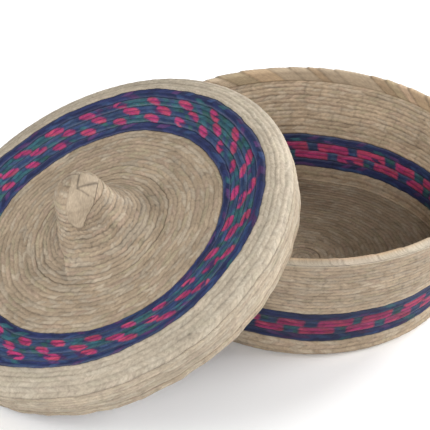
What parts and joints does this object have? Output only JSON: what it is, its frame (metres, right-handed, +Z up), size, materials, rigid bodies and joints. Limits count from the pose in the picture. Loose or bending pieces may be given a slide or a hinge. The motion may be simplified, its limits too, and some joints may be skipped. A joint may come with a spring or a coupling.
{
  "type": "tortilla warmer",
  "caption": "Round plaited-palm tortilla warmer: a flared bowl with a coloured band and a peaked, deep-edged lid that lifts off, shown leaning on the rim.",
  "frame": {"origin": "centre of the bowl's flat underside, on the surface it stands on", "axes": "+Z up along the bowl's axis, the shortest extent; +X away from the leaning lid along the longest extent, so the lid leans on the -X side of the rim"},
  "size_m": [0.4094, 0.272, 0.1417],
  "materials": {
    "palm_braid": "dry woven palm, natural tan",
    "palm_pale": "dry woven palm, pale",
    "palm_navy": "palm dyed navy",
    "palm_mixed": "palm dyed pink and teal in blocks"
  },
  "bodies": {
    "bowl": {"bowl_start": "palm_braid", "bowl_base_rows": "palm_braid", "bowl_heel_rows": "palm_braid", "bowl_navy_lower": "palm_navy", "bowl_mixed_row_1": "palm_mixed", "bowl_mixed_row_2": "palm_mixed", "bowl_navy_upper": "palm_navy", "bowl_wall_rows": "palm_braid", "bowl_rim_core": "palm_braid", "bowl_rim_wrap": "palm_pale"},
    "lid": {"lid_tip_cap": "palm_pale", "lid_tip_fold": "palm_pale", "lid_peak_rows": "palm_braid", "lid_disc_rows": "palm_braid", "lid_navy_inner": "palm_navy", "lid_mixed_row_1": "palm_mixed", "lid_mixed_row_2": "palm_mixed", "lid_mixed_row_3": "palm_mixed", "lid_navy_outer": "palm_navy", "lid_shoulder_rows": "palm_pale", "lid_skirt_rows": "palm_pale", "lid_edge_binding": "palm_pale"}
  },
  "joints": [
    {"name": "lid_lift", "type": "slide", "parent": "bowl", "child": "lid", "axis": [0, 0, 1], "range_m": [0, 0.15]}
  ]
}
